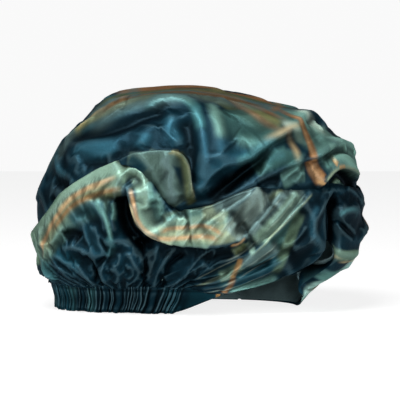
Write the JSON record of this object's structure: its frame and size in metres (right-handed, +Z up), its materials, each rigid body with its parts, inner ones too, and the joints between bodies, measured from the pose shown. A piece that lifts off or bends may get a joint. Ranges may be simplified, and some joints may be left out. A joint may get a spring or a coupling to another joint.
{
  "type": "satin turban",
  "caption": "Soft satin turban: a puffed crown, a draped wrap panel folded in an S, a ruched elastic band at the nape and a dark lining, open below for the head.",
  "frame": {"origin": "on the floor, under the middle of the turban's box", "axes": "+Z up; +X from the nape (elastic band) to the forehead; the side with the S fold faces -Y"},
  "size_m": [0.3026, 0.2136, 0.1983],
  "materials": {
    "crown_satin": "satin, printed in teal, navy, sage and ochre stripes",
    "wrap_satin": "satin, printed in mint, sage, teal and ochre stripes",
    "band_satin": "ruched satin",
    "lining_satin": "black satin"
  },
  "bodies": {
    "root": {"crown": "crown_satin", "wrap_panel": "wrap_satin", "elastic_band": "band_satin", "lining": "lining_satin"}
  },
  "joints": []
}
